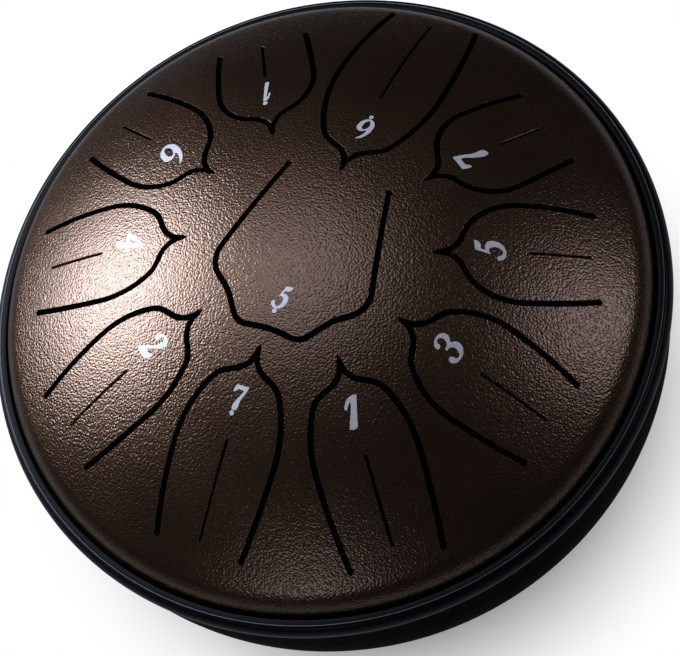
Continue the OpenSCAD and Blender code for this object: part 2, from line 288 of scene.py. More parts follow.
def turned(name, profile, steps=ROUND_STEPS):
    """A closed profile of (radius, height) in millimetres, spun round the drum's axis."""
    places = [Vector((r * MM, 0, z * MM)) for r, z in profile]
    piece = single_point(name, places[0])
    for here, there in zip(places, places[1:]):
        bpy.ops.mesh.extrude_region_move(TRANSFORM_OT_translate={"value": there - here})
    bpy.ops.mesh.select_all(action="SELECT")
    bpy.ops.mesh.spin(steps=steps, angle=2 * pi, center=(0, 0, 0), axis=(0, 0, 1))
    bpy.ops.mesh.select_all(action="SELECT")
    bpy.ops.mesh.remove_doubles(threshold=WELD * MM)
    bpy.ops.mesh.normals_make_consistent(inside=False)
    bpy.ops.object.mode_set(mode="OBJECT")
    return piece


def arc(middle, radius, start, end, step=ARC_STEP):
    """Points (radius, height) of an arc. Angles are from the horizontal, in radians."""
    count = max(ceil(abs(end - start) / step), 1)
    angles = [start + (end - start) * i / count for i in range(count + 1)]
    return [(middle[0] + radius * cos(a), middle[1] + radius * sin(a)) for a in angles]


# Outlines of the tongues
def step_end(place, step):
    """Where a step of (length, 0) or (radius, turn) ends. A place is (x, y, heading in radians)."""
    x, y, heading = place
    size, turn = step
    if turn == 0:
        return (x + size * cos(heading), y + size * sin(heading), heading)
    side = copysign(1, turn)
    after = heading + radians(turn)
    return (
        x + side * size * (sin(after) - sin(heading)),
        y - side * size * (cos(after) - cos(heading)),
        after,
    )


def walk(place, steps):
    """The places along the steps, close enough together to draw a curve."""
    places = [place]
    for size, turn in steps:
        angle = abs(radians(turn))
        count = max(ceil(angle / ARC_STEP), ceil(size * angle / CHORD), 1)
        start = places[-1]
        if turn == 0:
            places.append(step_end(start, (size, 0)))
        else:
            places += [step_end(start, (size, turn * i / count)) for i in range(1, count + 1)]
    return places


def beside(places, distance):
    """The places moved to the left by a distance, as plain points."""
    return [(x - distance * sin(h), y + distance * cos(h)) for x, y, h in places]


def both_sides(half):
    """A closed outline from its upper half, which starts on the axis."""
    return half + [(x, -y) for x, y in reversed(half[1:])]


def petal_path(note):
    """The middle of a petal's slot, from its tip to its root."""
    length = PETALS[note][2] * UPPER_R
    belly = PETALS[note][4] * PETAL_ROOT
    belly_x = BELLY_SHARE * length
    neck = [(PETAL_SPIKE, 0), (PETAL_NECK_R, PETAL_NECK_TURN), (PETAL_FLANK, 0)]
    turn = radians(PETAL_NECK_TURN)
    x, y, _ = walk((0, 0, 0), neck)[-1]
    rise = belly - y - PETAL_CHEEK_R * (1 - cos(turn))
    run = belly_x - x - PETAL_CHEEK_R * sin(turn)
    lean = 2 * atan(rise / run)
    cheek = (PETAL_CHEEK_R, degrees(lean) - PETAL_NECK_TURN)
    side_x = walk((0, 0, 0), neck + [cheek])[-1][0]
    drop = belly - PETAL_ROOT / 2
    taper = length - belly_x
    side = ((belly_x - side_x) / sin(lean), -degrees(lean))
    root = ((taper * taper + drop * drop) / (2 * drop), -2 * degrees(atan(drop / taper)))
    return walk((0, 0, 0), neck + [cheek, side, root])


def leaf_path():
    """The middle of the centre tongue's slot, from the middle of its tip to its root."""
    start = (LEAF_DIP_SHARE * LEAF_W, 0, radians(90))
    return walk(start, [(size * LEAF_W, turn) for size, turn in LEAF_STEP_SHARES])


LEAF_PATH = leaf_path()
LEAF_START = LEAF_PATH[0][0]
PETAL_PATHS = {note: petal_path(note) for note in PETALS}


def slot_end(place):
    """The round end of a slot at the root, from its outer side round to its inner side."""
    x, y, _ = place
    radius = SLOT / 2 + SLOT_RELIEF
    outside = pi - asin(SLOT / 2 / radius)
    return arc((x, y), radius, outside, -pi / 2, SLOT_END_STEP)


def hole_outline(path, start_x):
    """The hole for a tongue: the outer side of its slot, with round ends at the root."""
    end = slot_end(path[-1])
    outer = [p for p in beside(path[1:], SLOT / 2) if 0 < p[1] and p[0] < end[0][0]]
    return both_sides([(start_x, 0)] + outer + end)


def tongue_outline(path, start_x):
    """The tongue itself: the inner side of its slot, closed at the root."""
    root_x = path[-1][0] - ROOT_GAP
    inner = [p for p in beside(path[1:], -SLOT / 2) if 0 < p[1] and p[0] < root_x - ROOT_GAP]
    return both_sides([(start_x, 0)] + inner + [(root_x, inner[-1][1])])


def slit_outline(note):
    """The tuning slit in the middle of a petal."""
    length = PETALS[note][2] * UPPER_R
    start, end = PETALS[note][5] * length, PETALS[note][6] * length
    near = arc((start, 0), SLIT / 2, pi / 2, 1.5 * pi, TINY_ARC_STEP)
    far = arc((end, 0), SLIT / 2, -pi / 2, pi / 2, TINY_ARC_STEP)
    return near + far


def placed(outline, turn, along, across):
    """An outline moved along and across its own axis, then turned round the drum's axis."""
    c, s = cos(radians(turn)), sin(radians(turn))
    moved = [(x + along, y + across) for x, y in outline]
    return [(x * c - y * s, x * s + y * c) for x, y in moved]


def petal_placed(note, outline):
    """An outline in a petal's own frame, brought to the petal's place on the drum."""
    turn, tip, _, side = PETALS[note][:4]
    return placed(outline, turn, tip * UPPER_R, side * UPPER_R)


def leaf_placed(outline):
    """An outline in the centre tongue's own frame, brought to its place on the drum."""
    return placed(outline, LEAF_TURN, -LEAF_TIP, LEAF_SIDE)


def prism(name, outlines):
    """Flat outlines in millimetres, drawn as closed curves and thickened."""
    curve = bpy.data.curves.new(name, "CURVE")
    curve.dimensions = "2D"
    curve.fill_mode = "BOTH"
    for outline in outlines:
        spline = curve.splines.new("POLY")
        spline.points.add(len(outline) - 1)
        for point, (x, y) in zip(spline.points, outline):
            point.co = (x * MM, y * MM, 0, 1)
        spline.use_cyclic_u = True
    return thickened(name, curve)


def thickened(name, curve):
    """A flat filled curve as a closed mesh that reaches from under the dome to over it."""
    low = SHOULDER_Z - SHOULDER_R
    high = CROWN_Z + CROWN_R + SHOULDER_R
    curve.extrude = (high - low) / 2 * MM
    piece = bpy.data.objects.new(name, curve)
    bpy.context.collection.objects.link(piece)
    piece.location.z = (high + low) / 2 * MM
    only(piece)
    bpy.ops.object.convert(target="MESH")
    bpy.ops.object.transform_apply(location=True)
    mesh_edit(
        piece,
        lambda: bpy.ops.mesh.remove_doubles(threshold=WELD * MM),
        lambda: bpy.ops.mesh.normals_make_consistent(inside=False),
    )
    return piece


def cut(piece, tool, operation):
    modify(piece, "BOOLEAN", object=tool, operation=operation, solver="EXACT")


def parted(piece):
    """The loose parts of a piece."""
    only(piece)
    bpy.ops.mesh.separate(type="LOOSE")
    return list(bpy.context.selected_objects)


def middle_of(piece):
    points = [v.co for v in piece.data.vertices]
    return sum(points, Vector()) / len(points)


# The two steel shells
def dome_line(out):
    """The upper shell's outer skin from the axis to the flange, moved outwards by a distance."""
    slope = pi / 2 - CROWN_SLOPE
    crown = arc((0, CROWN_Z), CROWN_R + out, pi / 2, slope, CROWN_SLOPE / CROWN_STEPS)
    shoulder = arc((SHOULDER_MID_R, SHOULDER_Z), SHOULDER_R + out, slope, 0)
    return crown + shoulder[1:]


def dome(name, out, depth):
    """The upper shell before its slots are cut, without its flange."""
    outer = dome_line(out)
    inner = dome_line(-depth)
    return turned(name, outer + list(reversed(inner)))


def upper_blank():
    """The upper shell before its slots are cut: dome, wall and flange."""
    inside_bend = UPPER_BEND + SHEET
    top = UPPER_FLANGE_Z + SHEET
    edge = SHEET / 2
    outer = dome_line(0)
    outer += arc((UPPER_R + UPPER_BEND, top + UPPER_BEND), UPPER_BEND, pi, 1.5 * pi, SMALL_ARC_STEP)
    outer += arc((FLANGE_R - edge, top - edge), edge, pi / 2, -pi / 2, SMALL_ARC_STEP)
    inside_mid = (UPPER_R - SHEET + inside_bend, top - SHEET + inside_bend)
    outer += arc(inside_mid, inside_bend, -pi / 2, -pi, SMALL_ARC_STEP)
    inner = list(reversed(dome_line(-SHEET)))
    return turned("upper_blank", outer + inner)


def lower_blank():
    """The bowl, with its sound hole and its flange, before the screw holes are cut."""
    edge = SHEET / 2
    bend = LOWER_BEND
    hem = SOUND_HOLE_EDGE
    bottom = LOWER_FLANGE_Z
    top = bottom + SHEET
    line = arc((SOUND_HOLE_R + hem, FOOT_H + hem), hem, pi, 1.5 * pi, TINY_ARC_STEP)
    line += arc((FLOOR_R, BEND_Z), BOWL_R, -pi / 2, 0, BOWL_ARC_STEP)
    line += arc((LOWER_R + bend, bottom - bend), bend, pi, pi / 2, SMALL_ARC_STEP)[:-1]
    line += arc((FLANGE_R - edge, bottom + edge), edge, -pi / 2, pi / 2, SMALL_ARC_STEP)
    line += arc((LOWER_R - SHEET + bend, top - bend), bend, pi / 2, pi, SMALL_ARC_STEP)
    line += arc((FLOOR_R, BEND_Z), BOWL_R - SHEET, 0, -pi / 2, BOWL_ARC_STEP)
    line += arc((SOUND_HOLE_R + hem, FOOT_H + SHEET - hem), hem, pi / 2, pi, TINY_ARC_STEP)
    return turned("lower_shell_skin", line + line[:1])


def band():
    """The rubber ring: a bulged side with a bead above it, and a channel for the two flanges."""
    lip = BAND_EDGE
    bead = BAND_BEAD
    half = (BAND_TOP_Z - BAND_Z) / 2
    side_r = (half * half + BAND_BULGE * BAND_BULGE) / (2 * BAND_BULGE)
    side_mid = (BAND_R - side_r, BAND_Z + half)
    side_end = asin((half - lip) / side_r)
    inner_top = UPPER_R + BAND_TOP_GAP
    inner_low = LOWER_R + BAND_BOTTOM_GAP
    seam_top = UPPER_FLANGE_Z + SHEET
    side_start = side_end * 0.93
    line = arc((inner_top + lip, BAND_TOP_Z - lip), lip, pi, pi / 2, SMALL_ARC_STEP)
    bead_mid = (BAND_R - BAND_BULGE - bead, BAND_TOP_Z - bead)
    line += arc(bead_mid, bead, radians(150), radians(-10), radians(16))
    line += arc(side_mid, side_r, side_start, -side_end, BAND_ARC_STEP)
    line += arc((inner_low + lip, BAND_Z + lip), lip, -pi / 2, -pi, SMALL_ARC_STEP)
    line += [
        (inner_low, LOWER_FLANGE_Z),
        (FLANGE_R, LOWER_FLANGE_Z),
        (FLANGE_R, seam_top),
        (inner_top, seam_top),
    ]
    return turned("rim_band_ring", line + line[:1])


def rubber_foot():
    """One foot on the drum's axis: it flares to the top, and a recess below takes the screw's head."""
    inside = FOOT_EDGE / 2
    line = arc((FOOT_RECESS_R + inside, inside), inside, pi, 1.5 * pi, radians(22.5))
    line += arc((FOOT_BOTTOM_R - FOOT_EDGE, FOOT_EDGE), FOOT_EDGE, -pi / 2, radians(-8), radians(16))
    line += [
        (FOOT_BOTTOM_R + 0.3, FOOT_H * 0.55),
        (FOOT_BOTTOM_R + 0.7, FOOT_H * 0.75),
        (FOOT_TOP_R - FOOT_RIM, FOOT_H * 0.86),
    ]
    line += arc((FOOT_TOP_R - FOOT_RIM, FOOT_H - FOOT_RIM), FOOT_RIM, 0, pi / 2, TINY_ARC_STEP)
    line += [(SCREW_HOLE_R, FOOT_H), (SCREW_HOLE_R, FOOT_H - FOOT_WEB), (FOOT_RECESS_R, FOOT_H - FOOT_WEB)]
    return turned("foot", line + line[:1], FOOT_STEPS)


# Finishing
def skin_height(r):
    """The height of the upper shell's skin at a distance from the axis."""
    if r < CROWN_R * sin(CROWN_SLOPE):
        return CROWN_Z + sqrt(CROWN_R**2 - r * r)
    reach = min(max(r - SHOULDER_MID_R, 0), SHOULDER_R)
    return SHOULDER_Z + sqrt(SHOULDER_R**2 - reach * reach)


def on_skin(point):
    """Whether a point lies on the upper shell's outer skin, clear of its wall."""
    r = sqrt(point.x**2 + point.y**2) / MM
    return r < UPPER_R - 1 and abs(point.z / MM - skin_height(r)) < SKIN_REACH


def on_petal(note, point):
    """A point in the petal's own frame: along from its tip and across."""
    turn, tip, _, side = PETALS[note][:4]
    x, y = placed([(point.x / MM, point.y / MM)], -turn, 0, 0)[0]
    return x - tip * UPPER_R, y - side * UPPER_R


def on_leaf(point):
    """A point in the centre tongue's own frame: along from its tip and across."""
    x, y = placed([(point.x / MM, point.y / MM)], -LEAF_TURN, 0, 0)[0]
    return x + LEAF_TIP, y - LEAF_SIDE


def at_root(note, point):
    """Whether a point lies where a tongue bends out of the shell."""
    if note == "low_5":
        x, y = on_leaf(point)
        end = LEAF_PATH[-1]
    else:
        x, y = on_petal(note, point)
        end = PETAL_PATHS[note][-1]
    return abs(x - end[0]) < ROOT_REACH and abs(y) < end[1] - SLOT / 2 + ROOT_SIDE


def in_slit(note, point):
    """Whether a point lies along a petal's slit."""
    return note != "low_5" and abs(on_petal(note, point)[1]) < SLIT


def rounded(piece, notes, width, slits):
    """Rounds the skin's edges along slots, or along slits, but not where a tongue bends out of the shell."""
    mesh_edit(
        piece,
        lambda: bpy.ops.mesh.select_all(action="DESELECT"),
        lambda: bpy.ops.mesh.select_mode(type="EDGE"),
        lambda: bpy.ops.mesh.edges_select_sharp(sharpness=radians(ROUNDED_CREASE)),
    )
    points = [v.co for v in piece.data.vertices]
    for edge in piece.data.edges:
        a, b = (points[i] for i in edge.vertices)
        wanted = edge.select and on_skin(a) and on_skin(b)
        if wanted:
            mid = (a + b) / 2
            wanted = not any(at_root(n, a) and at_root(n, b) for n in notes)
            wanted = wanted and any(in_slit(n, mid) for n in notes) == slits
        edge.select = wanted
    for face in piece.data.polygons:
        face.select = False
    for vertex in piece.data.vertices:
        vertex.select = False
    for edge in piece.data.edges:
        if edge.select:
            for i in edge.vertices:
                piece.data.vertices[i].select = True
    only(piece)
    bpy.ops.object.mode_set(mode="EDIT")
    bpy.ops.mesh.bevel(offset=width * MM, segments=2, profile=0.5, affect="EDGES", clamp_overlap=False)
    bpy.ops.object.mode_set(mode="OBJECT")


def skinned(piece, source):
    """Smooth shading, with the normals of the uncut shell on the outer skin."""
    only(piece)
    bpy.ops.object.shade_smooth_by_angle(angle=radians(SKIN_CREASE))
    group = piece.vertex_groups.new(name="skin")
    group.add([v.index for v in piece.data.vertices if on_skin(v.co)], 1, "REPLACE")
    modify(
        piece,
        "DATA_TRANSFER",
        object=source,
        use_loop_data=True,
        data_types_loops={"CUSTOM_NORMAL"},
        loop_mapping="POLYINTERP_NEAREST",
        vertex_group=group.name,
    )
    piece.vertex_groups.remove(piece.vertex_groups["skin"])


def smooth(piece):
    """Smooth shading with sharp creases."""
    only(piece)
    bpy.ops.object.shade_smooth_by_angle(angle=radians(PLAIN_CREASE))


def cleaned(piece):
    """Merges the tiny edges that a cut leaves."""
    mesh_edit(
        piece,
        lambda: bpy.ops.mesh.remove_doubles(threshold=CUT_WELD * MM),
        lambda: bpy.ops.mesh.dissolve_degenerate(threshold=FLAT_FACE * MM),
        lambda: bpy.ops.mesh.normals_make_consistent(inside=False),
    )


def holes():
    """The eleven holes in the shell as one tool."""
    outlines = [petal_placed(note, hole_outline(path, 0)) for note, path in PETAL_PATHS.items()]
    return prism("holes", outlines + [leaf_placed(hole_outline(LEAF_PATH, LEAF_START - SLOT / 2))])


def tongue_prisms():
    """The eleven tongues' outlines and the petals' slits as one tool. Slits inside a tongue become holes."""
    # The slot's two inner sides meet past the spike, where they bend away from each other
    tip_x = PETAL_SPIKE + sqrt(PETAL_NECK_R * SLOT + SLOT * SLOT / 4)
    outlines = [leaf_placed(tongue_outline(LEAF_PATH, LEAF_START + SLOT / 2))]
    for note, path in PETAL_PATHS.items():
        outlines.append(petal_placed(note, tongue_outline(path, tip_x)))
        outlines.append(petal_placed(note, slit_outline(note)))
    return prism("tongues", outlines)


def note_of(piece):
    """The note of the tongue that a piece is or lies on."""
    middle = middle_of(piece)
    best = {}
    for note in PETALS:
        x, y = on_petal(note, middle)
        best[note] = abs(x - PETALS[note][2] * UPPER_R / 2) + abs(y)
    x, y = on_leaf(middle)
    best["low_5"] = abs(x - LEAF_PATH[-1][0] / 2) + abs(y)
    return min(best, key=best.get)


def mark_lines(note):
    """A mark's closed lines of (x, y, corner) at its size, place and turn, in millimetres."""
    digit, away, around, upright, width, height, mid_x, mid_y, dot = MARKS[note]
    xs = [p[0] for p in SHAPES[digit][0]]
    ys = [p[1] for p in SHAPES[digit][0]]
    wider = width / (max(xs) - min(xs))
    taller = height / (max(ys) - min(ys))
    mid = ((max(xs) + min(xs)) / 2, (max(ys) + min(ys)) / 2)
    lines = []
    for line in SHAPES[digit]:
        sized = []
        for x, y, *corner in line:
            sized.append(((x - mid[0]) * wider + mid_x, (y - mid[1]) * taller + mid_y, bool(corner)))
        lines.append(sized)
    if dot:
        ring = [2 * pi * i / DOT_POINTS for i in range(DOT_POINTS)]
        lines.append([(dot[0] + DOT_R * cos(a), dot[1] + DOT_R * sin(a), False) for a in ring])
    middle = Vector((away * cos(radians(around)), away * sin(radians(around))))
    up = Vector((cos(radians(upright)), sin(radians(upright))))
    across = Vector((up.y, -up.x))
    placed_lines = []
    for line in lines:
        places = [(middle + x * across + y * up, corner) for x, y, corner in line]
        placed_lines.append([(place.x, place.y, corner) for place, corner in places])
    return placed_lines


def marks_curve(name):
    """All the marks' outlines as smooth closed curves."""
    curve = bpy.data.curves.new(name, "CURVE")
    curve.dimensions = "2D"
    curve.fill_mode = "BOTH"
    curve.resolution_u = MARK_STEPS
    for note in MARKS:
        for line in mark_lines(note):
            spline = curve.splines.new("BEZIER")
            spline.bezier_points.add(len(line) - 1)
            spline.use_cyclic_u = True
            for point, (x, y, _) in zip(spline.bezier_points, line):
                point.co = (x * MM, y * MM, 0)
            for point, (_, _, corner) in zip(spline.bezier_points, line):
                kind = "VECTOR" if corner else "AUTO"
                point.handle_left_type = kind
                point.handle_right_type = kind
    return curve


def named(piece, name):
    """Names a piece and its mesh."""
    piece.name = name
    piece.data.name = name
    return piece


# Making the pieces
def make_upper():
    """The upper shell and its eleven tongues, cut from one dome."""
    source = upper_blank()
    smooth(source)
    shell = source.copy()
    shell.data = source.data.copy()
    bpy.context.collection.objects.link(shell)
    named(shell, "upper_shell_skin")
    tool = holes()
    cut(shell, tool, "DIFFERENCE")
    bpy.data.objects.remove(tool)
    cleaned(shell)
    notes = list(PETALS) + ["low_5"]
    rounded(shell, notes, SLOT_EDGE, False)
    skinned(shell, source)
    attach(shell, "drum")
    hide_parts("upper_shell")

    plate = dome("plate", 0, SHEET)
    tool = tongue_prisms()
    cut(plate, tool, "INTERSECT")
    bpy.data.objects.remove(tool)
    cleaned(plate)
    tongues = []
    for part in parted(plate):
        note = note_of(part)
        named(part, "tongue_" + note + "_plate")
        rounded(part, [note], SLOT_EDGE, False)
        if note != "low_5":
            rounded(part, [note], SLIT_EDGE, True)
        skinned(part, source)
        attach(part, "tongue_" + note)
        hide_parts("tongue_" + note)
        tongues.append(part)
    bpy.data.objects.remove(source)
    return shell, tongues


def mark_at(piece):
    """The note of the mark nearest to a piece."""
    middle = middle_of(piece) / MM
    gaps = {}
    for note, (_, away, around, *_) in MARKS.items():
        gaps[note] = (Vector((away * cos(radians(around)), away * sin(radians(around)))) - middle.xy).length
    return min(gaps, key=gaps.get)


def make_marks():
    """The printed digits and octave dots: a thin film cut to the marks' outlines."""
    film = dome("film", PRINT_UP, PRINT_DOWN)
    tool = thickened("marks", marks_curve("marks"))
    cut(film, tool, "INTERSECT")
    bpy.data.objects.remove(tool)
    by_note = {}
    for part in parted(film):
        by_note.setdefault(mark_at(part), []).append(part)
    marks = []
    for note, parts in by_note.items():
        bpy.ops.object.select_all(action="DESELECT")
        for part in parts:
            part.select_set(True)
        bpy.context.view_layer.objects.active = parts[0]
        bpy.ops.object.join()
        mark = named(bpy.context.object, "mark_" + note)
        smooth(mark)
        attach(mark, "tongue_" + note)
        marks.append(mark)
    return marks


def make_lower():
    """The bowl, with a hole for each foot's screw."""
    shell = lower_blank()
    tools = []
    for turn in FOOT_TURNS.values():
        place = (FOOT_STANCE * cos(radians(turn)) * MM, FOOT_STANCE * sin(radians(turn)) * MM, FOOT_H * MM)
        bpy.ops.mesh.primitive_cylinder_add(radius=SCREW_HOLE_R * MM, depth=4 * SHEET * MM, location=place)
        tools.append(bpy.context.object)
    for tool in tools:
        cut(shell, tool, "DIFFERENCE")
        bpy.data.objects.remove(tool)
    smooth(shell)
    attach(shell, "drum")
    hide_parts("lower_shell")
    return shell


def make_band():
    """The rubber band round the seam."""
    ring = band()
    smooth(ring)
    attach(ring, "drum")
    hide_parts("rim_band")
    return ring


def make_feet():
    """One foot, copied to its four places."""
    first = rubber_foot()
    smooth(first)
    feet = []
    for name, turn in FOOT_TURNS.items():
        foot = first.copy()
        foot.data = first.data.copy()
        bpy.context.collection.objects.link(foot)
        named(foot, "foot_" + name + "_rubber")
        foot.location = (FOOT_STANCE * cos(radians(turn)) * MM, FOOT_STANCE * sin(radians(turn)) * MM, 0)
        only(foot)
        bpy.ops.object.transform_apply(location=True)
        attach(foot, "drum")
        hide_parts("foot_" + name)
        feet.append(foot)
    bpy.data.objects.remove(first)
    return feet


# Materials
PEBBLE_SOFTNESS = 0.35
PEBBLE_MIDDLE = 0.1
PEBBLE_SIDE = 0.5
WAVE_DETAIL = 2
CLOUD_DETAIL = 4
GLOSS_CHANGE = 0.05

# A Mix node's sockets for colours and for plain values
COLOUR_A, COLOUR_B, COLOUR_OUT = 6, 7, 2
VALUE_A, VALUE_B, VALUE_OUT = 2, 3, 0


def colour(red, green, blue):
    """A colour as a screen shows it, from 0 to 255, turned to linear light."""
    def linear(value):
        part = value / 255
        return part / 12.92 if part <= 0.04045 else ((part + 0.055) / 1.055) ** 2.4

    return (linear(red), linear(green), linear(blue), 1)


def new_group(name, inputs, outputs):
    """A node group with its inputs (label, kind, value) and outputs (label, kind), and its two end nodes."""
    group = bpy.data.node_groups.new(name, "ShaderNodeTree")
    for label, kind, value in inputs:
        socket = group.interface.new_socket(label, in_out="INPUT", socket_type=kind)
        if value is not None:
            socket.default_value = value
    for label, kind in outputs:
        group.interface.new_socket(label, in_out="OUTPUT", socket_type=kind)
    return group, group.nodes.new("NodeGroupInput"), group.nodes.new("NodeGroupOutput")


def add(tree, kind, **settings):
    """A new node with its settings."""
    node = tree.nodes.new(kind)
    for name, value in settings.items():
        setattr(node, name, value)
    return node


def join(tree, start, end):
    tree.links.new(start, end)


def pebbled(tree, place):
    """The nodes of rounded pebbles with fine waves: the pebbles, the waves and their height."""
    pebbles = add(tree, "ShaderNodeTexVoronoi", feature="SMOOTH_F1")
    pebbles.inputs["Smoothness"].default_value = PEBBLE_SOFTNESS
    waves = add(tree, "ShaderNodeTexNoise")
    waves.inputs["Detail"].default_value = WAVE_DETAIL
    height = add(tree, "ShaderNodeMath", operation="SUBTRACT")
    join(tree, place, pebbles.inputs["Vector"])
    join(tree, place, waves.inputs["Vector"])
    join(tree, waves.outputs["Fac"], height.inputs[0])
    join(tree, pebbles.outputs["Distance"], height.inputs[1])
    return pebbles, waves, height


def leather_grain():
    """Fine rounded pebbles of sprayed textured paint: their height, and a mask of the dips between them."""
    group, given, taken = new_group(
        "Leather grain",
        [("Place", "NodeSocketVector", None), ("Pebbles per metre", "NodeSocketFloat", 800)],
        [("Height", "NodeSocketFloat"), ("Dips", "NodeSocketFloat")],
    )
    pebbles, waves, height = pebbled(group, given.outputs["Place"])
    dips = add(group, "ShaderNodeMapRange")
    dips.inputs["From Min"].default_value = PEBBLE_MIDDLE
    dips.inputs["From Max"].default_value = PEBBLE_SIDE
    for node in (pebbles, waves):
        join(group, given.outputs["Pebbles per metre"], node.inputs["Scale"])
    join(group, height.outputs[0], taken.inputs["Height"])
    join(group, pebbles.outputs["Distance"], dips.inputs["Value"])
    join(group, dips.outputs["Result"], taken.inputs["Dips"])
    return group


def mottle():
    """Slow clouds across a surface, with a darker and a lighter colour."""
    group, given, taken = new_group(
        "Mottle",
        [
            ("Place", "NodeSocketVector", None),
            ("Clouds per metre", "NodeSocketFloat", 40),
            ("Dark", "NodeSocketColor", None),
            ("Light", "NodeSocketColor", None),
        ],
        [("Colour", "NodeSocketColor"), ("Cloud", "NodeSocketFloat")],
    )
    clouds = add(group, "ShaderNodeTexNoise")
    clouds.inputs["Detail"].default_value = CLOUD_DETAIL
    mix = add(group, "ShaderNodeMix", data_type="RGBA")
    join(group, given.outputs["Place"], clouds.inputs["Vector"])
    join(group, given.outputs["Clouds per metre"], clouds.inputs["Scale"])
    join(group, clouds.outputs["Fac"], mix.inputs["Factor"])
    join(group, given.outputs["Dark"], mix.inputs[COLOUR_A])
    join(group, given.outputs["Light"], mix.inputs[COLOUR_B])
    join(group, mix.outputs[COLOUR_OUT], taken.inputs["Colour"])
    join(group, clouds.outputs["Fac"], taken.inputs["Cloud"])
    return group


GRAIN = leather_grain()
MOTTLE = mottle()


def shader_of(material):
    """The shader that all of this drum's materials end in."""
    return material.node_tree.nodes["Principled BSDF"]


def finish(name, dark, light, clouds, pebbles, depth, rough, level, metal=0.0, speck=0.0):
    """A material between two tones, with clouds and pebbles per metre, the pebbles' depth in millimetres,
    roughness, specular level and metallic share. Speck is how much darker the pebbles are than their dips."""
    material = bpy.data.materials.new(name)
    material.use_nodes = True
    tree = material.node_tree
    shader = shader_of(material)
    place = add(tree, "ShaderNodeTexCoord")
    shade = add(tree, "ShaderNodeGroup", node_tree=MOTTLE)
    shade.inputs["Clouds per metre"].default_value = clouds
    shade.inputs["Dark"].default_value = colour(*dark)
    shade.inputs["Light"].default_value = colour(*light)
    grain = add(tree, "ShaderNodeGroup", node_tree=GRAIN)
    grain.inputs["Pebbles per metre"].default_value = pebbles
    relief = add(tree, "ShaderNodeBump")
    relief.inputs["Distance"].default_value = depth * MM
    specks = add(tree, "ShaderNodeMix", data_type="RGBA", blend_type="MULTIPLY")
    specks.inputs["Factor"].default_value = speck
    gloss = add(tree, "ShaderNodeMapRange")
    gloss.inputs["To Min"].default_value = rough - GLOSS_CHANGE
    gloss.inputs["To Max"].default_value = rough + GLOSS_CHANGE
    join(tree, place.outputs["Object"], shade.inputs["Place"])
    join(tree, place.outputs["Object"], grain.inputs["Place"])
    join(tree, shade.outputs["Colour"], specks.inputs[COLOUR_A])
    join(tree, grain.outputs["Dips"], specks.inputs[COLOUR_B])
    join(tree, specks.outputs[COLOUR_OUT], shader.inputs["Base Color"])
    join(tree, shade.outputs["Cloud"], gloss.inputs["Value"])
    join(tree, gloss.outputs["Result"], shader.inputs["Roughness"])
    join(tree, grain.outputs["Height"], relief.inputs["Height"])
    join(tree, relief.outputs["Normal"], shader.inputs["Normal"])
    shader.inputs["Specular IOR Level"].default_value = level
    shader.inputs["Metallic"].default_value = metal
    return material


def clear_coat(material, weight, rough, pebbles, depth):
    """A clear coat over a material, with pebbles and waves of its own."""
    tree = material.node_tree
    shader = shader_of(material)
    place = add(tree, "ShaderNodeTexCoord")
    bumps, waves, height = pebbled(tree, place.outputs["Object"])
    for node in (bumps, waves):
        node.inputs["Scale"].default_value = pebbles
    relief = add(tree, "ShaderNodeBump")
    relief.inputs["Distance"].default_value = depth * MM
    join(tree, height.outputs[0], relief.inputs["Height"])
    join(tree, relief.outputs["Normal"], shader.inputs["Coat Normal"])
    shader.inputs["Coat Weight"].default_value = weight
    shader.inputs["Coat Roughness"].default_value = rough


def painted_highlight_line(material, radius, width, tone):
    """A painted highlight: a thin paler line round the drum's axis, where an edge catches the light."""
    tree = material.node_tree
    shader = shader_of(material)
    plain = shader.inputs["Base Color"].links[0].from_socket
    place = add(tree, "ShaderNodeTexCoord")
    level = add(tree, "ShaderNodeVectorMath", operation="MULTIPLY")
    level.inputs[1].default_value = (1, 1, 0)
    away = add(tree, "ShaderNodeVectorMath", operation="LENGTH")
    near = add(tree, "ShaderNodeMath", operation="COMPARE")
    near.inputs[1].default_value = radius * MM
    near.inputs[2].default_value = width / 2 * MM
    mix = add(tree, "ShaderNodeMix", data_type="RGBA")
    mix.inputs[COLOUR_B].default_value = colour(*tone)
    join(tree, place.outputs["Object"], level.inputs[0])
    join(tree, level.outputs[0], away.inputs[0])
    join(tree, away.outputs["Value"], near.inputs[0])
    join(tree, near.outputs[0], mix.inputs["Factor"])
    join(tree, plain, mix.inputs[COLOUR_A])
    join(tree, mix.outputs[COLOUR_OUT], shader.inputs["Base Color"])


def wear(piece, material):
    """Gives a piece this material and no other."""
    piece.data.materials.clear()
    piece.data.materials.append(material)


BRONZE_GRAIN = 1200
BRONZE_DEPTH = 0.105
BRONZE = finish(
    "Bronze paint",
    (77, 54, 38),
    (92, 67, 48),
    clouds=30,
    pebbles=BRONZE_GRAIN,
    depth=BRONZE_DEPTH,
    rough=0.3,
    level=0.5,
    metal=0.93,
    speck=0.45,
)
shader_of(BRONZE).inputs["Specular Tint"].default_value = (0.3, 0.27, 0.25, 1)
clear_coat(BRONZE, weight=0.88, rough=0.21, pebbles=BRONZE_GRAIN, depth=BRONZE_DEPTH)

BLACK = finish(
    "Black paint",
    (6, 6, 9),
    (8, 8, 12),
    clouds=25,
    pebbles=500,
    depth=0.01,
    rough=0.5,
    level=0.15,
)
shader_of(BLACK).inputs["IOR"].default_value = 1.08

BAND = finish(
    "Band rubber",
    (9, 9, 14),
    (13, 13, 19),
    clouds=60,
    pebbles=2500,
    depth=0.01,
    rough=0.34,
    level=0.5,
)
shader_of(BAND).inputs["IOR"].default_value = 1.2
# The band's thin highlight line is painted into its colour.
painted_highlight_line(BAND, radius=BAND_R - BAND_BULGE - BAND_HIGHLIGHT_LINE, width=BAND_HIGHLIGHT_LINE, tone=(104, 105, 112))

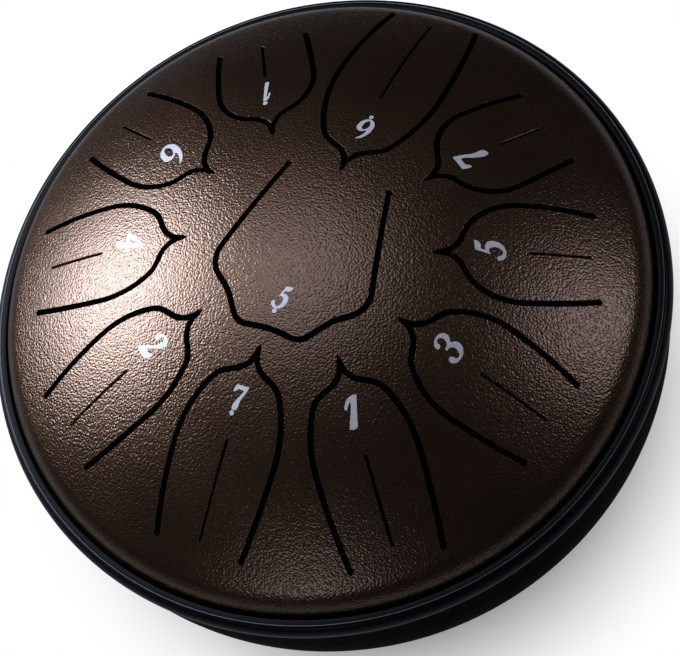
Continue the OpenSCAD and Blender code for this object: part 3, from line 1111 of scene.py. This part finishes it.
GASKET_RUBBER = finish(
    "Gasket rubber",
    (10, 10, 10),
    (16, 16, 16),
    clouds=60,
    pebbles=2500,
    depth=0.02,
    rough=0.7,
    level=0.3,
)
FOOT = finish(
    "Foot rubber",
    (16, 16, 17),
    (24, 24, 25),
    clouds=120,
    pebbles=2000,
    depth=0.03,
    rough=0.65,
    level=0.4,
)
STEEL = finish(
    "Blackened steel",
    (34, 34, 36),
    (48, 48, 51),
    clouds=200,
    pebbles=3000,
    depth=0.01,
    rough=0.45,
    level=0.5,
    metal=1.0,
)
PRINT = finish(
    "Silver print",
    (184, 187, 195),
    (206, 208, 214),
    clouds=300,
    pebbles=2000,
    depth=0.02,
    rough=0.5,
    level=0.2,
    metal=0.4,
)


# Dressing the drum
upper, tongues = make_upper()
for piece in [upper] + tongues:
    wear(piece, BRONZE)
for piece in make_marks():
    wear(piece, PRINT)
wear(make_lower(), BLACK)
wear(make_band(), BAND)
for piece in make_feet():
    wear(piece, FOOT)
wear(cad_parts["seam_gasket"], GASKET_RUBBER)
for name in ("foot_screws", "foot_washers", "foot_nuts"):
    wear(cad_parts[name], STEEL)


# Stage, lights and camera, in metres. The floor's paper has a painted shadow: it is dark within
# PAINTED_SHADOW_WITHIN of the drum's axis and white beyond WHITE_BEYOND. Mirrored in the drum, its share
# falls from MIRRORED_NEAR there to
# MIRRORED_FAR at MIRRORED_END, a painted pool of light that darkens with distance.
STAGE_R = 20
STAGE_SIDES = 64
# The tone of the painted shadow under the drum, then the white paper
PAINTED_SHADOW_PAPER = (0.01, 0.01, 0.01, 1)
WHITE_PAPER = (0.85, 0.85, 0.85, 1)
PAINTED_SHADOW_WITHIN = 0.07
WHITE_BEYOND = 0.15
MIRRORED_END = 0.8
MIRRORED_NEAR = 0.25
MIRRORED_FAR = 0.02
ROOM_TONE = (0.03, 0.03, 0.032, 1)
FILL_TONE = (0.95, 0.96, 1.1)
LAMP_AIM = 0.1

# By name: the lamp's direction and height in degrees, its distance and width, its radiance and its tone
LAMPS = {
    "key": (177, 32, 1.6, 0.85, 16, (0.91, 0.98, 1.11)),
    "left_top": (145, 66, 1.7, 0.9, 2.1, FILL_TONE),
    "right_fill": (36, 38, 1.8, 0.6, 3.9, FILL_TONE),
    "front_fill": (277, 34, 1.8, 0.45, 3.3, FILL_TONE),
}

# The camera where the photo's stood: lens and sensor in millimetres, its place, and its turn in degrees
LENS = 169.41
SENSOR = 36
CAMERA_PLACE = (0.412993, -0.346523, 1.130291)
CAMERA_TURN = (23.94456, 12.67812, 23.69993)


def make_floor():
    """A white floor that keeps the drum's shadow, painted dark under the drum as shade, and painted darker
    with distance where it is mirrored, as a pool of light.
    """
    bpy.ops.mesh.primitive_circle_add(vertices=STAGE_SIDES, radius=STAGE_R, fill_type="NGON")
    floor = bpy.context.object
    floor.name = "floor"
    material = bpy.data.materials.new("White floor")
    material.use_nodes = True
    tree = material.node_tree
    tree.nodes.remove(tree.nodes["Principled BSDF"])
    sees = add(tree, "ShaderNodeLightPath")
    paper = add(tree, "ShaderNodeBsdfDiffuse")
    tone = add(tree, "ShaderNodeMix", data_type="RGBA")
    tone.inputs[COLOUR_A].default_value = PAINTED_SHADOW_PAPER
    tone.inputs[COLOUR_B].default_value = WHITE_PAPER
    white = add(tree, "ShaderNodeEmission")
    place = add(tree, "ShaderNodeTexCoord")
    away = add(tree, "ShaderNodeVectorMath", operation="LENGTH")
    beyond = add(tree, "ShaderNodeMapRange", interpolation_type="SMOOTHSTEP")
    beyond.inputs["From Min"].default_value = PAINTED_SHADOW_WITHIN
    beyond.inputs["From Max"].default_value = WHITE_BEYOND
    far = add(tree, "ShaderNodeMapRange")
    far.inputs["From Min"].default_value = WHITE_BEYOND
    far.inputs["From Max"].default_value = MIRRORED_END
    far.inputs["To Min"].default_value = MIRRORED_NEAR
    far.inputs["To Max"].default_value = MIRRORED_FAR
    mirrored = add(tree, "ShaderNodeMath", operation="MAXIMUM")
    faded = add(tree, "ShaderNodeMath", operation="MULTIPLY")
    kept = add(tree, "ShaderNodeMix", data_type="FLOAT")
    kept.inputs[VALUE_A].default_value = 1
    light = add(tree, "ShaderNodeMath", operation="MULTIPLY")
    seen = add(tree, "ShaderNodeMath", operation="MAXIMUM")
    share = add(tree, "ShaderNodeMath", operation="MULTIPLY")
    mix = add(tree, "ShaderNodeMixShader")
    join(tree, place.outputs["Object"], away.inputs[0])
    join(tree, away.outputs["Value"], beyond.inputs["Value"])
    join(tree, away.outputs["Value"], far.inputs["Value"])
    join(tree, sees.outputs["Is Glossy Ray"], mirrored.inputs[0])
    join(tree, sees.outputs["Is Transmission Ray"], mirrored.inputs[1])

    # The paper's colour, painted dark under the drum as shade and, for mirrored rays, darker with distance as
    # a painted pool of light
    join(tree, mirrored.outputs[0], kept.inputs["Factor"])
    join(tree, far.outputs["Result"], kept.inputs[VALUE_B])
    join(tree, kept.outputs[VALUE_OUT], light.inputs[0])
    join(tree, beyond.outputs["Result"], light.inputs[1])
    join(tree, light.outputs[0], tone.inputs["Factor"])
    join(tree, tone.outputs[COLOUR_OUT], paper.inputs["Color"])

    # How much of it is plain white to the camera and to mirrored rays, none under the drum, where shade is
    # painted
    join(tree, mirrored.outputs[0], faded.inputs[0])
    join(tree, far.outputs["Result"], faded.inputs[1])
    join(tree, sees.outputs["Is Camera Ray"], seen.inputs[0])
    join(tree, faded.outputs[0], seen.inputs[1])
    join(tree, seen.outputs[0], share.inputs[0])
    join(tree, beyond.outputs["Result"], share.inputs[1])
    join(tree, share.outputs[0], mix.inputs[0])
    join(tree, paper.outputs[0], mix.inputs[1])
    join(tree, white.outputs[0], mix.inputs[2])
    join(tree, mix.outputs[0], tree.nodes["Material Output"].inputs["Surface"])
    floor.data.materials.append(material)


def softbox(name, azimuth, height, away, size, radiance, tone):
    """A round lamp that looks at the drum from a direction in degrees. Its watts follow from its radiance."""
    lamp = bpy.data.lights.new(name, "AREA")
    lamp.color = tone
    lamp.shape = "DISK"
    lamp.size = size
    lamp.energy = radiance * pi * pi * (size / 2) ** 2
    holder = bpy.data.objects.new(name, lamp)
    bpy.context.collection.objects.link(holder)
    a, e = radians(azimuth), radians(height)
    way = Vector((cos(e) * cos(a), cos(e) * sin(a), sin(e)))
    holder.location = Vector((0, 0, LAMP_AIM)) + way * away
    holder.rotation_euler = way.to_track_quat("Z", "Y").to_euler()


def make_lights():
    for name, settings in LAMPS.items():
        softbox(name, *settings)
    world = bpy.data.worlds.new("Dim room")
    world.use_nodes = True
    world.node_tree.nodes["Background"].inputs["Color"].default_value = ROOM_TONE
    bpy.context.scene.world = world


def make_camera():
    lens = bpy.data.cameras.new("camera")
    lens.lens = LENS
    lens.sensor_width = SENSOR
    lens.sensor_fit = "HORIZONTAL"
    holder = bpy.data.objects.new("camera", lens)
    bpy.context.collection.objects.link(holder)
    holder.location = CAMERA_PLACE
    holder.rotation_euler = [radians(turn) for turn in CAMERA_TURN]
    bpy.context.scene.camera = holder


make_floor()
make_lights()
make_camera()
bpy.context.scene.view_settings.view_transform = "Standard"
